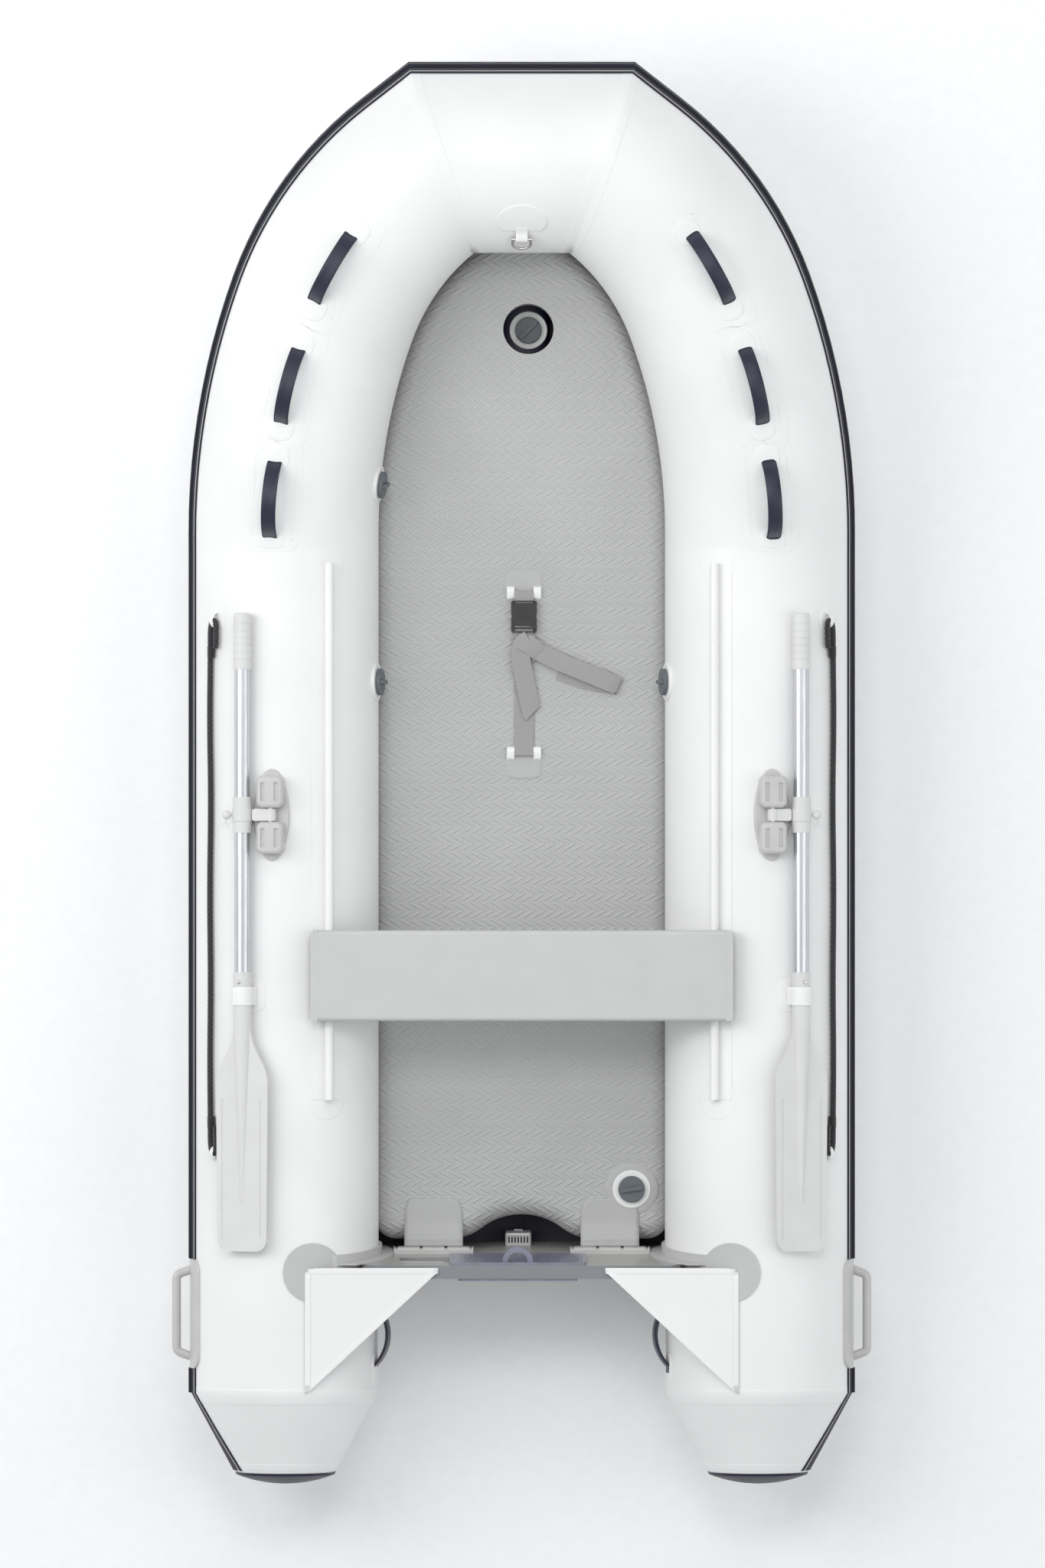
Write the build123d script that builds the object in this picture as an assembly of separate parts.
"""Inflatable dinghy with an inflatable floor, a wooden transom, a sliding bench and two stowed oars.

Frame: origin on the ground under the middle of the boat, +Y to the bow, +X to starboard, +Z up.
The side tubes lie on the ground.  The bow rises in one tilted plane in front of a short elbow.
"""
from build123d import *
from math import asin, atan2, cos, degrees, hypot, radians, sin, sqrt, tan
import os

# Hull tubes
HULL_LENGTH = 3200.0
TUBE_RADIUS = 210.0
TUBE_HALF_SPACING = 533.0
TUBE_WALL = 1.5
BOW_TILT = 9.0
ELBOW_RADIUS = 300.0
SIDE_ARC_RADIUS = 1500.0
SIDE_ARC_ANGLE = 20.0
SHOULDER_ARC_RADIUS = 667.0
SHOULDER_ANGLE = 52.0
SHOULDER_STRAIGHT = 60.0
CONE_LENGTH = 184.0
CONE_END_RADIUS = 110.0
CONE_CAP_HEIGHT = 21.0
BULKHEAD_Y = 430.0
SKIN_GAP = 0.08

# Rub strake
STRAKE_BAND_HALF = 64.0
STRAKE_BAND_THICKNESS = 3.0
STRAKE_BEAD_HALF = 26.0
STRAKE_BEAD_THICKNESS = 9.0

# Floor, keel and bottom
FLOOR_THICKNESS = 100.0
FLOOR_BOTTOM = 80.0
FLOOR_SKIN = 2.0
FLOOR_EDGE_FILLET = 42.0
FLOOR_TUBE_GAP = 0.5
FLOOR_AFT_Y = -1050.0
FLOOR_ARCH_DEPTH = 55.0
FLOOR_ARCH_HALF = 160.0
FLOOR_LOBE_RADIUS = 110.0
FLOOR_CORNER = 50.0
KEEL_HALF_WIDTH = 70.0
KEEL_BOTTOM = 6.5
KEEL_AFT_Y = -995.0
KEEL_FRONT_Y = 1085.0
KEEL_SKIN = 1.5
BOTTOM_SKIN = 1.5
BOTTOM_KEEL_Z = 4.0
BOTTOM_ATTACH_ANGLE = 58.0
BOTTOM_BOW_ANGLE = 76.0

# Transom
TRANSOM_THICKNESS = 30.0
TRANSOM_TOP = 395.0
TRANSOM_BOTTOM = 14.0
TRANSOM_RAKE = 6.3
TRANSOM_TOP_INNER_Y = -1102.0
TRANSOM_HALF_WIDTH = 360.0
TRANSOM_CORNER = 45.0
PROFILE_THICKNESS = 8.0
PROFILE_LIP = 34.0
PROFILE_LIP_THICKNESS = 4.0
PROFILE_PAD_RADIUS = 66.0
PAD_HEIGHT = 150.0
PAD_THICKNESS = 6.0
INNER_PAD_WIDTH = 308.0
INNER_PAD_X = -9.0
PAD_STOP_OUTER = 34.0
PAD_STOP_INNER = 22.0
PAD_CORNER = 14.0
OUTER_PAD_WIDTH = 268.0
CLAMP_LENGTH = 179.0
CLAMP_X = 199.0
CLAMP_Z = 204.0
CLAMP_HEIGHT = 34.0
CLAMP_THICKNESS = 14.0
SCREW_HEAD_RADIUS = 5.0
SCREW_PITCH = 62.0
FLAP_WIDTH = 132.0
FLAP_FRONT_Y = -999.0
FLAP_THICKNESS = 1.2
FLAP_BONDED = 14.0
GUARD_THICKNESS = 1.5
GUARD_INNER_X = 185.0
GUARD_OUTER_X = 486.0
GUARD_FRONT_Y = -1107.0
GUARD_AFT_Y = -1390.0

# Drain valve
DRAIN_X = -8.0
DRAIN_WIDTH = 59.0
DRAIN_HEIGHT = 56.0
DRAIN_DEPTH = 24.0
DRAIN_Z = 34.0
DRAIN_PIPE_RADIUS = 14.5
DRAIN_BORE = 12.0

# Seat
BENCH_HALF_LENGTH = 457.0
BENCH_DEPTH = 203.0
BENCH_Y = -451.0
BENCH_THICKNESS = 36.0
BENCH_WALL = 3.0
BENCH_CAP = 16.0
RAIL_ANGLE = 27.0
RAIL_HEAD_RADIUS = 10.0
RAIL_BORE = 6.0
RAIL_STANDOFF = 13.0
RAIL_NECK = 9.0
RAIL_BASE_HALF = 36.0
RAIL_FRONT_Y = 473.0
RAIL_AFT_Y = -730.0
RAIL_CLEARANCE = 0.8

# Straps and handles
STRAP_WIDTH = 33.0
STRAP_THICKNESS = 3.0
STRAP_LENGTH = 166.0
STRAP_ARCH = 50.0
STRAP_FOOT = 24.0
STRAP_LEAN = 8.0
STRAP_PAD_RADIUS = 30.0
STRAP_PAD = 1.2
STERN_LOOP_LENGTH = 132.0
STERN_LOOP_ARCH = 26.0
STERN_LOOP_ANGLE = 76.0
STERN_LOOP_Y = -1262.0
HANDLE_Y = -1215.0
HANDLE_PLATE_LENGTH = 246.0
HANDLE_PLATE = 6.0
HANDLE_PLATE_HALF = 88.0
HANDLE_BAR_RADIUS = 10.0
HANDLE_BAR_REACH = 246.0
HANDLE_BAR_LENGTH = 196.0

# Oars and oarlocks
OAR_X = 626.0
OAR_REACH = 236.0
OAR_Y = -91.0
GRIP_FRONT_Y = 361.0
GRIP_LENGTH = 126.0
GRIP_RADIUS = 20.0
SHAFT_RADIUS = 17.5
SHAFT_WALL = 1.5
SHAFT_AFT_Y = -505.0
FIT = 0.15
SOCKET_FRONT_Y = -444.0
SOCKET_RADIUS = 20.5
BLADE_END_Y = -1069.0
BLADE_FULL_Y = -698.0
BLADE_NECK_Y = -545.0
BLADE_WIDTH = 126.0
BLADE_THICKNESS = 7.0
COLLAR_LENGTH = 80.0
COLLAR_RADIUS = 21.0
LOCK_X = 560.0
LOCK_LENGTH = 206.0
LOCK_WIDTH = 80.0
LOCK_PLATE = 8.0
HUMP_WIDTH = 60.0
HUMP_LENGTH = 72.0
HUMP_HEIGHT = 34.0
HUMP_GAP = 31.0
AXLE_HEIGHT = 21.0
AXLE_RADIUS = 5.0
SWIVEL_WIDTH = 27.0
KNOB_RADIUS = 10.5
BUTTON_RADIUS = 4.0
BUTTON_Y = -466.0
KEEPER_Y = -497.0
KEEPER_WIDTH = 41.0
KEEPER_THICKNESS = 2.0

# Safety ropes
ROPE_RADIUS = 6.5
ROPE_X = 699.0
ROPE_FRONT_Y = 345.0
ROPE_AFT_Y = -851.0
ROPE_EYE_RADIUS = 13.0
ROPE_TAIL = 62.0
ROPE_TUBE_GAP = 1.5
ANCHOR_WIDTH = 11.0
ANCHOR_THICKNESS = 2.0

# Valves
VALVE_FLANGE_RADIUS = 43.0
VALVE_FLANGE = 4.0
VALVE_BARREL_RADIUS = 25.0
VALVE_BORE = 21.0
VALVE_DEPTH = 34.0
VALVE_HOLE_CLEARANCE = 0.3
CAP_RADIUS = 30.0
CAP_HEIGHT = 10.0
CAP_GRIP_HEIGHT = 6.0
CAP_PLAY = 0.4
CAP_PLUG = 12.0
TUBE_VALVE_ANGLE = 12.0
KEEL_VALVE = (15.0, 1006.0)
KEEL_HOLE_RADIUS = 57.0
FLOOR_VALVE = (248.0, -937.0)

# Cargo strap
WEBBING_WIDTH = 45.0
WEBBING = 2.0
STRAP_X = 5.0
ANCHOR_FRONT_Y = 409.0
ANCHOR_REAR_Y = 41.0
BUCKLE_WIDTH = 58.0
BUCKLE_FRONT_Y = 392.0
BUCKLE_SPLIT_Y = 357.0
BUCKLE_REAR_Y = 320.0
BUCKLE_THICKNESS = 13.0
KNOT_Y = 285.0
KNOT_SIZE = (54.0, 44.0, 20.0)
TAIL_LENGTH = 150.0
TAIL_ANGLE = 15.0
LOOP_LENGTH = 200.0
LOOP_HEIGHT = 9.0
LOOP_ANGLE = 18.0
ANCHOR_PAD = 1.2

# Bow ring
RING_ANGLE = 32.0
RING_WIRE = 3.0
RING_HALF_WIDTH = 20.0
RING_DROP = 36.0
RING_TAB_WIDTH = 26.0

TUBE_Z = TUBE_RADIUS
BEAD_RADIUS = TUBE_RADIUS + STRAKE_BEAD_THICKNESS
FLOOR_TOP = FLOOR_BOTTOM + FLOOR_THICKNESS
FLOOR_MID = FLOOR_BOTTOM + FLOOR_THICKNESS / 2
HALF_LENGTH = HULL_LENGTH / 2


def save(name, shape):
    solids = shape.solids() if not isinstance(shape, list) else [s for item in shape for s in item.solids()]
    body = solids[0] if len(solids) == 1 else Compound(children=solids)
    body.label = name
    export_step(body, os.path.join("parts", name + ".step"))


def both_sides(shape):
    return [shape, mirror(shape, about=Plane.YZ)]


# ---------------------------------------------------------------- hull path, starboard side
BOW_PLANE_LENGTH = (
    SIDE_ARC_RADIUS * sin(radians(SIDE_ARC_ANGLE))
    + SHOULDER_ARC_RADIUS * (sin(radians(SHOULDER_ANGLE)) - sin(radians(SIDE_ARC_ANGLE)))
    + SHOULDER_STRAIGHT * cos(radians(SHOULDER_ANGLE))
)
BEAD_DIP = BOW_TILT - degrees(asin(STRAKE_BEAD_HALF / BEAD_RADIUS))
BOW_CENTRE_Y = HALF_LENGTH - BEAD_RADIUS * cos(radians(BEAD_DIP))
QUARTER_Y = BOW_CENTRE_Y - BOW_PLANE_LENGTH * cos(radians(BOW_TILT))
ELBOW_Y = QUARTER_Y - ELBOW_RADIUS * sin(radians(BOW_TILT))
QUARTER_Z = TUBE_Z + ELBOW_RADIUS * (1 - cos(radians(BOW_TILT)))
CONE_TIP_Y = -HALF_LENGTH + STRAP_PAD + SKIN_GAP
CONE_Y = CONE_TIP_Y + CONE_CAP_HEIGHT + CONE_LENGTH
BOW_PLANE = Location((0, QUARTER_Y, QUARTER_Z), (BOW_TILT, 0, 0))


def shoulder_start():
    x = TUBE_HALF_SPACING - SIDE_ARC_RADIUS * (1 - cos(radians(SIDE_ARC_ANGLE)))
    return x, SIDE_ARC_RADIUS * sin(radians(SIDE_ARC_ANGLE))


def shoulder_end():
    x, v = shoulder_start()
    turn = cos(radians(SIDE_ARC_ANGLE)) - cos(radians(SHOULDER_ANGLE))
    rise = sin(radians(SHOULDER_ANGLE)) - sin(radians(SIDE_ARC_ANGLE))
    return x - SHOULDER_ARC_RADIUS * turn, v + SHOULDER_ARC_RADIUS * rise


def mitre_point():
    x, v = shoulder_end()
    heading = radians(SHOULDER_ANGLE)
    return x - SHOULDER_STRAIGHT * sin(heading), v + SHOULDER_STRAIGHT * cos(heading)


def mitre_plane():
    x, v = mitre_point()
    half_turn = radians((90 - SHOULDER_ANGLE) / 2)
    return Plane(origin=(x, v, 0), z_dir=(cos(half_turn), -sin(half_turn), 0))


def straight_section(profile, y_from, y_to):
    """Extrude a profile drawn round the tube axis, x outboard and y up, along the side tube."""
    plane = Plane(origin=(TUBE_HALF_SPACING, y_to, TUBE_Z), x_dir=(1, 0, 0), z_dir=(0, -1, 0))
    return extrude(plane * profile, amount=y_to - y_from)


def elbow_section(profile):
    plane = Plane(origin=(TUBE_HALF_SPACING, ELBOW_Y, TUBE_Z), x_dir=(1, 0, 0), z_dir=(0, -1, 0))
    axis = Axis((TUBE_HALF_SPACING, ELBOW_Y, TUBE_Z + ELBOW_RADIUS), (1, 0, 0))
    return revolve(plane * profile, axis=axis, revolution_arc=BOW_TILT)


def quarter_flat(profile):
    """The bow quarter in its own flat plane: two arcs, a short straight run and the mitred end."""
    start = Plane(origin=(TUBE_HALF_SPACING, 0, 0), x_dir=(1, 0, 0), z_dir=(0, -1, 0))
    side_axis = Axis((TUBE_HALF_SPACING - SIDE_ARC_RADIUS, 0, 0), (0, 0, 1))
    side = revolve(start * profile, axis=side_axis, revolution_arc=SIDE_ARC_ANGLE)
    x, v = shoulder_start()
    turned = radians(SIDE_ARC_ANGLE)
    second = Plane(origin=(x, v, 0), x_dir=(cos(turned), sin(turned), 0),
                   z_dir=(sin(turned), -cos(turned), 0))
    centre = (x - SHOULDER_ARC_RADIUS * cos(turned), v - SHOULDER_ARC_RADIUS * sin(turned), 0)
    shoulder = revolve(second * profile, axis=Axis(centre, (0, 0, 1)),
                       revolution_arc=SHOULDER_ANGLE - SIDE_ARC_ANGLE)
    x, v = shoulder_end()
    turned = radians(SHOULDER_ANGLE)
    third = Plane(origin=(x, v, 0), x_dir=(cos(turned), sin(turned), 0), z_dir=(sin(turned), -cos(turned), 0))
    run = extrude(third * profile, amount=-(SHOULDER_STRAIGHT + 2 * TUBE_RADIUS))
    run = split(run, bisect_by=mitre_plane(), keep=Keep.TOP)
    return side, shoulder, run


def quarter_section(profile):
    side, shoulder, run = quarter_flat(profile)
    return BOW_PLANE * (side + shoulder + run)


def front_section(profile):
    x, v = mitre_point()
    reach = x + 2 * TUBE_RADIUS
    start = Plane(origin=(reach, v, 0), x_dir=(0, 1, 0), z_dir=(1, 0, 0))
    bar = extrude(start * profile, amount=-2 * reach)
    bar = split(bar, bisect_by=mitre_plane(), keep=Keep.BOTTOM)
    port_plane = Plane(origin=(-x, v, 0), z_dir=(-mitre_plane().z_dir.X, mitre_plane().z_dir.Y, 0))
    bar = split(bar, bisect_by=port_plane, keep=Keep.BOTTOM)
    return BOW_PLANE * bar


def along_y(profile, y_from, y_to):
    plane = Plane(origin=(0, y_to, 0), x_dir=(1, 0, 0), z_dir=(0, -1, 0))
    return extrude(plane * profile, amount=y_to - y_from)


def ring_profile(inner, outer):
    return Circle(outer) - Circle(inner)


def bow_point(flat_y):
    """Centre, outboard direction and up direction of the quarter tube at a distance along its plane."""
    side_v = shoulder_start()[1]
    if flat_y <= side_v:
        turned = asin(flat_y / SIDE_ARC_RADIUS)
        x = TUBE_HALF_SPACING - SIDE_ARC_RADIUS * (1 - cos(turned))
    else:
        x0, v0 = shoulder_start()
        base = radians(SIDE_ARC_ANGLE)
        turned = asin(sin(base) + (flat_y - v0) / SHOULDER_ARC_RADIUS)
        x = x0 - SHOULDER_ARC_RADIUS * (cos(base) - cos(turned))
    return x, turned


def surface_frame(y, lean, radius):
    """A frame on the starboard tube: origin on the skin, x across outboard, y forward, z outward."""
    lean_turn = Rot(0, lean, 0)
    if y <= ELBOW_Y:
        return Pos(TUBE_HALF_SPACING, y, TUBE_Z) * lean_turn * Pos(0, 0, radius)
    flat_y = (y - QUARTER_Y) / cos(radians(BOW_TILT))
    x, turned = bow_point(flat_y)
    return BOW_PLANE * Pos(x, flat_y, 0) * Rot(0, 0, degrees(turned)) * lean_turn * Pos(0, 0, radius)


# ---------------------------------------------------------------- tubes
def cone_profile(inset):
    """Half outline of the tapered tube end, as distance from the axis against y."""
    end = CONE_TIP_Y + CONE_CAP_HEIGHT
    side = hypot(CONE_LENGTH, TUBE_RADIUS - CONE_END_RADIUS)
    shift = inset * side / CONE_LENGTH
    slope = (TUBE_RADIUS - CONE_END_RADIUS) / CONE_LENGTH
    rim_y = end + inset
    rim_r = CONE_END_RADIUS - shift + slope * inset
    outline = Polyline((0, CONE_Y), (TUBE_RADIUS - shift, CONE_Y), (rim_r, rim_y))
    dome = (rim_r ** 2 + CONE_CAP_HEIGHT ** 2) / (2 * CONE_CAP_HEIGHT)
    tip_y = rim_y - CONE_CAP_HEIGHT
    half_turn = asin(rim_r / dome) / 2
    middle = (dome * sin(half_turn), tip_y + dome * (1 - cos(half_turn)))
    cap = ThreePointArc((rim_r, rim_y), middle, (0, tip_y))
    close = Line((0, tip_y), (0, CONE_Y))
    return make_face(outline + cap + close)


def cone_solid(inset):
    plane = Plane(origin=(TUBE_HALF_SPACING, 0, TUBE_Z), x_dir=(1, 0, 0), z_dir=(0, 0, 1))
    face = plane * cone_profile(inset)
    return revolve(face, axis=Axis((TUBE_HALF_SPACING, 0, TUBE_Z), (0, 1, 0)))


def solid_hull(radius):
    """Everything inside the given radius round the hull path, for cutting what lies against the tubes."""
    disc = Circle(radius)
    side = straight_section(disc, CONE_Y, ELBOW_Y) + elbow_section(disc)
    return side, quarter_section(disc), front_section(disc)


def valve_hole(frame):
    radius = VALVE_BARREL_RADIUS + VALVE_HOLE_CLEARANCE
    return frame * Cylinder(radius, 60)


def tube_valve_frame(y):
    return surface_frame(y, -(90 - TUBE_VALVE_ANGLE), TUBE_RADIUS)


TUBE_VALVES = {"bow": (-1, 677.0), "port": (-1, 208.0), "starboard": (1, 208.0)}


def placed(side, shape):
    return shape if side > 0 else mirror(shape, about=Plane.YZ)


def side_tube(side):
    wall = ring_profile(TUBE_RADIUS - TUBE_WALL, TUBE_RADIUS)
    tube = straight_section(wall, CONE_Y, ELBOW_Y) + elbow_section(wall)
    tube = tube + (cone_solid(0) - cone_solid(TUBE_WALL))
    for valve_side, y in TUBE_VALVES.values():
        if valve_side == side and y < ELBOW_Y:
            tube = tube - valve_hole(tube_valve_frame(y))
    return placed(side, tube)


def quarter_tube(side):
    tube = quarter_section(ring_profile(TUBE_RADIUS - TUBE_WALL, TUBE_RADIUS))
    for valve_side, y in TUBE_VALVES.values():
        if valve_side == side and y > ELBOW_Y:
            tube = tube - valve_hole(tube_valve_frame(y))
    return placed(side, tube)


def cone_end_cap():
    """A domed cover bonded over the tapered end."""
    shell = cone_solid(-STRAP_PAD - SKIN_GAP) - cone_solid(-SKIN_GAP)
    keep = Pos(TUBE_HALF_SPACING, -HALF_LENGTH, TUBE_Z) * Box(500, 2 * (CONE_CAP_HEIGHT + 6), 500)
    return shell & keep


def bulkhead():
    disc = Rot(90, 0, 0) * Cylinder(TUBE_RADIUS - TUBE_WALL - SKIN_GAP, TUBE_WALL)
    return Pos(TUBE_HALF_SPACING, BULKHEAD_Y, TUBE_Z) * disc


# ---------------------------------------------------------------- rub strake
def strake_profile():
    band = ring_profile(TUBE_RADIUS + SKIN_GAP, TUBE_RADIUS + STRAKE_BAND_THICKNESS)
    band = band & (Pos(TUBE_RADIUS, 0) * Rectangle(100, 2 * STRAKE_BAND_HALF))
    bead = ring_profile(TUBE_RADIUS + SKIN_GAP, BEAD_RADIUS)
    bead = bead & (Pos(TUBE_RADIUS, 0) * Rectangle(100, 2 * STRAKE_BEAD_HALF))
    return band + bead


def handle_gap():
    return Pos(TUBE_HALF_SPACING + TUBE_RADIUS, HANDLE_Y, TUBE_Z) * Box(120, HANDLE_PLATE_LENGTH + 1, 400)


def cone_strake():
    """The strake's run down the outer side of the tapered end."""
    shell = cone_solid(-STRAKE_BAND_THICKNESS) - cone_solid(-SKIN_GAP)
    front_y = CONE_Y - 1
    aft_y = CONE_TIP_Y + CONE_CAP_HEIGHT + 9
    keep = Pos(TUBE_HALF_SPACING + TUBE_RADIUS, (front_y + aft_y) / 2, TUBE_Z)
    keep = keep * Box(2 * TUBE_RADIUS, front_y - aft_y, 2 * STRAKE_BAND_HALF)
    return shell & keep


def rub_strake():
    profile = strake_profile()
    side = straight_section(profile, CONE_Y, ELBOW_Y) + elbow_section(profile)
    side = side - handle_gap()
    quarter = quarter_section(profile)
    front = front_section(profile)
    return [*both_sides(side), *both_sides(quarter), front, *both_sides(cone_strake())]


# ---------------------------------------------------------------- floor, keel, bottom
def floor_offset():
    reach = TUBE_RADIUS + FLOOR_EDGE_FILLET + FLOOR_TUBE_GAP
    drop = TUBE_Z - (FLOOR_TOP - FLOOR_EDGE_FILLET)
    return sqrt(reach ** 2 - drop ** 2) - FLOOR_EDGE_FILLET


def floor_outline(inset):
    """Plan outline, inset from the floor's widest line."""
    away = floor_offset() + inset
    half = TUBE_HALF_SPACING - away
    side_radius = SIDE_ARC_RADIUS - away
    shoulder_radius = SHOULDER_ARC_RADIUS - away
    squash = cos(radians(BOW_TILT))
    y0 = QUARTER_Y
    a = radians(SIDE_ARC_ANGLE)
    b = radians(SHOULDER_ANGLE)
    x1 = half - side_radius * (1 - cos(a))
    y1 = y0 + side_radius * sin(a) * squash
    x2 = x1 - shoulder_radius * (cos(a) - cos(b))
    y2 = y1 + shoulder_radius * (sin(b) - sin(a)) * squash
    aft = FLOOR_AFT_Y + inset
    turn = 2 * atan2(FLOOR_ARCH_DEPTH, FLOOR_ARCH_HALF)
    arch_x = FLOOR_ARCH_HALF - FLOOR_LOBE_RADIUS * sin(turn)
    arch_y = aft + FLOOR_LOBE_RADIUS * (1 - cos(turn))
    side = Line((half, aft + FLOOR_CORNER), (half, y0))
    run = TangentArc((half, y0), (x1, y1), tangent=(0, 1))
    shoulder = TangentArc((x1, y1), (x2, y2), tangent=run % 1)
    front = TangentArc((x2, y2), (-x2, y2), tangent=shoulder % 1)
    corner = TangentArc((half, aft + FLOOR_CORNER), (half - FLOOR_CORNER, aft), tangent=(0, -1))
    lobe = Line((half - FLOOR_CORNER, aft), (FLOOR_ARCH_HALF, aft))
    rise = TangentArc((FLOOR_ARCH_HALF, aft), (arch_x, arch_y), tangent=(-1, 0))
    arch = TangentArc((arch_x, arch_y), (-arch_x, arch_y), tangent=rise % 1)
    half_edges = [side, run, shoulder, corner, lobe, rise]
    mirrored = [mirror(edge, about=Plane.YZ) for edge in half_edges]
    edges = [e for part in (*half_edges, *mirrored, front, arch) for e in part.edges()]
    return make_face(edges)


def floor_slab(inset):
    slab = extrude(floor_outline(inset), amount=FLOOR_THICKNESS - 2 * inset)
    edges = slab.edges().group_by(Axis.Z)
    rim = edges[0] + edges[-1]
    slab = fillet(rim, FLOOR_EDGE_FILLET - inset)
    return Pos(0, 0, FLOOR_BOTTOM + inset) * slab


def air_floor():
    floor = floor_slab(0) - floor_slab(FLOOR_SKIN)
    collar = Cylinder(KEEL_HOLE_RADIUS + FLOOR_SKIN, FLOOR_THICKNESS)
    floor = floor + Pos(*KEEL_VALVE, FLOOR_MID) * collar
    floor = floor - Pos(*KEEL_VALVE, FLOOR_MID) * Cylinder(KEEL_HOLE_RADIUS, 2 * FLOOR_THICKNESS)
    floor = floor - valve_hole(Pos(*FLOOR_VALVE, FLOOR_TOP))
    return floor


def keel_section(y, half_width, bottom, top, inset):
    plane = Plane(origin=(0, y, (bottom + top) / 2), x_dir=(1, 0, 0), z_dir=(0, -1, 0))
    return plane * Ellipse(half_width - inset, (top - bottom) / 2 - inset)


def keel_solid(inset):
    top = FLOOR_BOTTOM - 0.2
    aft = keel_section(KEEL_AFT_Y + inset, KEEL_HALF_WIDTH, KEEL_BOTTOM, top, inset)
    bend = keel_section(ELBOW_Y, KEEL_HALF_WIDTH, KEEL_BOTTOM, top, inset)
    front = keel_section(KEEL_FRONT_Y - inset, KEEL_HALF_WIDTH - 10, KEEL_BOTTOM + 28, top, inset)
    return loft([aft, bend], ruled=True) + loft([bend, front], ruled=True)


def keel_tube():
    keel = keel_solid(0) - keel_solid(KEEL_SKIN)
    return keel - valve_hole(Pos(*KEEL_VALVE, FLOOR_BOTTOM))


def bottom_section(y, keel_z, half_width, edge_z):
    plane = Plane(origin=(0, y, 0), x_dir=(1, 0, 0), z_dir=(0, -1, 0))
    points = [(0, keel_z), (half_width, edge_z), (half_width, edge_z + BOTTOM_SKIN),
              (0, keel_z + BOTTOM_SKIN), (-half_width, edge_z + BOTTOM_SKIN), (-half_width, edge_z)]
    return plane * make_face(Polyline(*points, close=True))


def bow_centre(y):
    """Plan position and height of the tube centre line where the hull crosses a station."""
    flat_y = (y - QUARTER_Y) / cos(radians(BOW_TILT))
    x, turned = bow_point(min(flat_y, shoulder_end()[1] - 1))
    return x, QUARTER_Z + flat_y * sin(radians(BOW_TILT))


BOTTOM_STATIONS = {800.0: 5.0, 1050.0: 17.0, 1190.0: 36.0, 1290.0: 74.0, 1384.0: 146.0}


def bottom_reach(angle=BOTTOM_ATTACH_ANGLE):
    lower = radians(angle)
    return (TUBE_RADIUS - 12) * cos(lower), (TUBE_RADIUS - 12) * sin(lower)


def bottom_edge():
    inward, drop = bottom_reach()
    return TUBE_HALF_SPACING - inward, TUBE_Z - drop


def bottom_skin():
    inward, drop = bottom_reach()
    half, edge = bottom_edge()
    aft_y = TRANSOM_TOP_INNER_Y + 14
    sections = [bottom_section(y, BOTTOM_KEEL_Z, half, edge) for y in (aft_y, ELBOW_Y)]
    inward, drop = bottom_reach(BOTTOM_BOW_ANGLE)
    for y, keel_z in BOTTOM_STATIONS.items():
        x, z = bow_centre(y)
        sections.append(bottom_section(y, keel_z, x - inward, z - drop))
    skin = None
    for first, second in zip(sections, sections[1:]):
        piece = loft([first, second], ruled=True)
        skin = piece if skin is None else skin + piece
    for part in solid_hull(TUBE_RADIUS + SKIN_GAP):
        skin = skin - part
        skin = skin - mirror(part, about=Plane.YZ)
    largest = max(skin.solids(), key=lambda s: s.volume)
    return largest


# ---------------------------------------------------------------- transom
TRANSOM_FRAME = Location((0, TRANSOM_TOP_INNER_Y, TRANSOM_TOP), (TRANSOM_RAKE, 0, 0))
# In this frame +Y is the inner face's normal, y = 0 is the inner face and z = 0 the top edge.
TRANSOM_DEPTH = (TRANSOM_TOP - TRANSOM_BOTTOM) / cos(radians(TRANSOM_RAKE))


def side_cylinder(radius):
    return Pos(TUBE_HALF_SPACING, -1100, TUBE_Z) * Rot(90, 0, 0) * Cylinder(radius, 800)


def board_blank(y_from, y_to, depth, half_width):
    slab = Box(2 * half_width, y_to - y_from, depth, align=(Align.CENTER, Align.MIN, Align.MAX))
    return TRANSOM_FRAME * Pos(0, y_from, 0) * slab


def transom_board():
    board = Box(2 * TRANSOM_HALF_WIDTH, TRANSOM_THICKNESS, TRANSOM_DEPTH,
                align=(Align.CENTER, Align.MAX, Align.MAX))
    corners = board.edges().filter_by(Axis.Y).group_by(Axis.Z)[-1]
    board = TRANSOM_FRAME * fillet(corners, TRANSOM_CORNER)
    for side in both_sides(side_cylinder(TUBE_RADIUS + PROFILE_THICKNESS)):
        board = board - side
    drain = drain_frame() * Rot(90, 0, 0) * Cylinder(15, 200)
    half, edge = bottom_edge()
    above = BOTTOM_KEEL_Z + BOTTOM_SKIN + 0.3
    wedge = Polyline((0, above), (half, edge + BOTTOM_SKIN + 0.3), (half, -50), (-half, -50),
                     (-half, edge + BOTTOM_SKIN + 0.3), close=True)
    return board - drain - along_y(make_face(wedge), -1300, -900)


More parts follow.
